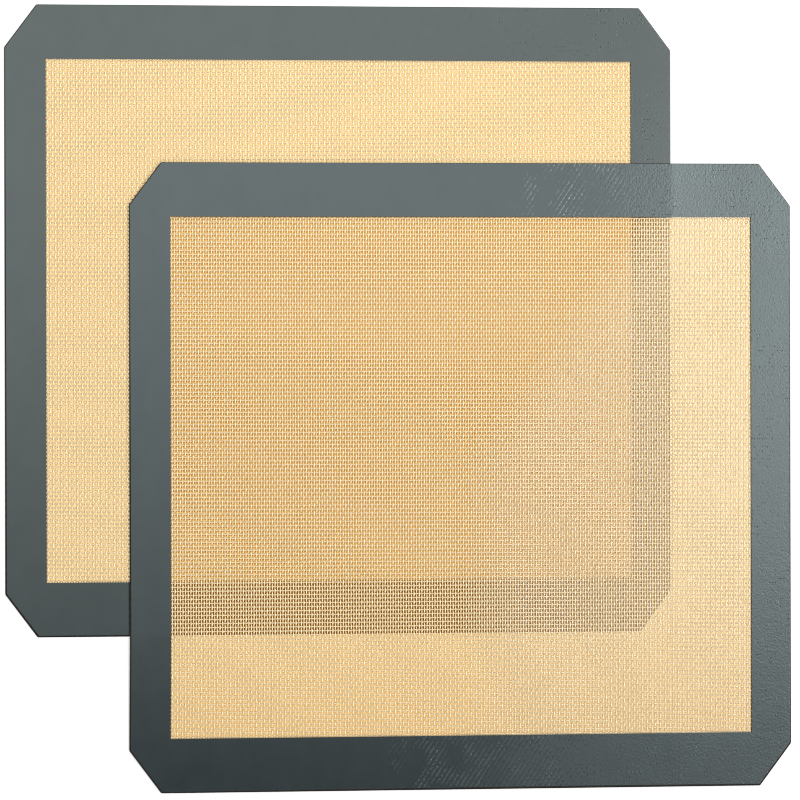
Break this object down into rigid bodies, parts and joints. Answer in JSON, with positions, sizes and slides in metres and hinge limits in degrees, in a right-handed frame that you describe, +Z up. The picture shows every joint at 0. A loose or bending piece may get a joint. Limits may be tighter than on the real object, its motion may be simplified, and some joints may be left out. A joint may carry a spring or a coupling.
{
  "type": "silicone baking mat",
  "caption": "Pair of flat half-sheet baking mats, one lying over the other: coated woven glass mesh with a grey silicone border and corners cut at 45 degrees.",
  "frame": {"origin": "on the table, below the middle of the pair's outline", "axes": "+X along the mats' long side, to the right in the picture; +Y away from the reader, up in the picture; +Z up, out of the table"},
  "size_m": [0.4958, 0.3688, 0.0015],
  "materials": {
    "tan_silicone": "satin",
    "glass_cloth": "satin",
    "grey_silicone": "satin"
  },
  "bodies": {
    "lower_mat": {"lower_base_coat": "tan_silicone", "lower_glass_cloth": "glass_cloth", "lower_top_coat": "tan_silicone", "lower_border_band": "grey_silicone"},
    "upper_mat": {"upper_base_coat": "tan_silicone", "upper_glass_cloth": "glass_cloth", "upper_top_coat": "tan_silicone", "upper_border_band": "grey_silicone"}
  },
  "joints": [
    {"name": "upper_mat_lift", "type": "slide", "parent": "lower_mat", "child": "upper_mat", "axis": [0, 0, 1], "range_m": [0, 0.1]}
  ]
}
